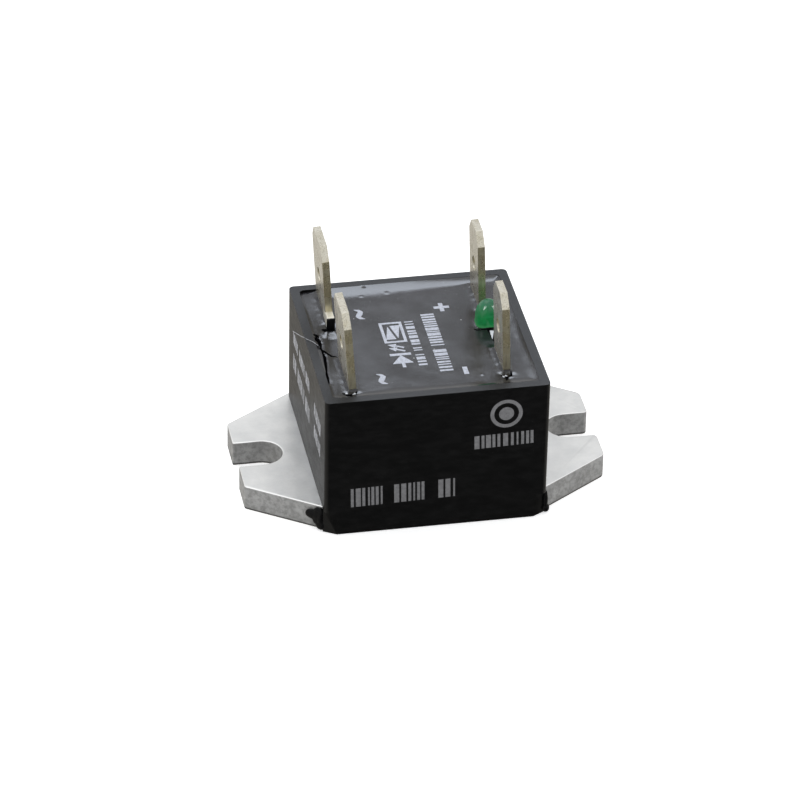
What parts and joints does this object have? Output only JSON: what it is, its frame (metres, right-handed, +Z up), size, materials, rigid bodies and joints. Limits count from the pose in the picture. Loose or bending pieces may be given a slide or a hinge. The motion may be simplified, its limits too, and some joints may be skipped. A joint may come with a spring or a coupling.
{
  "type": "solid state relay",
  "caption": "Compact panel-mount solid state relay: potted black block on a slotted metal base, with upright quick-connect tabs and a green indicator.",
  "frame": {"origin": "middle of the base plate's underside, on the line through the two screw slots", "axes": "+Z up out of the mounting face, towards the tabs; +X from the load tabs to the input tabs; +Y to the rear, the plus side"},
  "size_m": [0.0398, 0.0241, 0.0259],
  "materials": {
    "aluminium": "satin, sheared edges",
    "black_plastic": "fine matte moulding",
    "epoxy": "semi-gloss poured epoxy",
    "tin": "tin plate, slightly tarnished",
    "green_lens": "tinted diffused lens",
    "gel": "clear soft silicone",
    "solder": "dull solder",
    "alumina": "matte ceramic",
    "copper": "bare copper",
    "silicon": "polished silicon",
    "board": "solder mask on glass epoxy",
    "component_body": "moulded component bodies",
    "ceramic_tan": "fired ceramic"
  },
  "bodies": {
    "root": {"base_plate": "aluminium", "bond_layer": "solder", "case_frame": "black_plastic", "ceramic_substrate": "alumina", "clip_front": "copper", "clip_rear": "copper", "control_board": "board", "current_limiter": "component_body", "gate_pin_front": "tin", "gate_pin_rear": "tin", "gate_resistor_front": "component_body", "gate_resistor_rear": "component_body", "gate_wire_front": "tin", "gate_wire_rear": "tin", "input_resistor": "component_body", "input_tab_minus": "tin", "input_tab_plus": "tin", "led_lead_anode": "tin", "led_lead_cathode": "tin", "led_lens": "green_lens", "led_resistor": "component_body", "load_tab_front": "tin", "load_tab_rear": "tin", "opto_coupler": "component_body", "pad_front": "copper", "pad_gate_front": "copper", "pad_gate_rear": "copper", "pad_rear": "copper", "potting_epoxy": "epoxy", "protection_diode": "component_body", "sealant_front": "epoxy", "silicone_gel": "gel", "snubber_capacitor": "ceramic_tan", "snubber_resistor": "component_body", "squeeze_out_left": "epoxy", "squeeze_out_right": "epoxy", "thyristor_front": "silicon", "thyristor_rear": "silicon"}
  },
  "joints": []
}
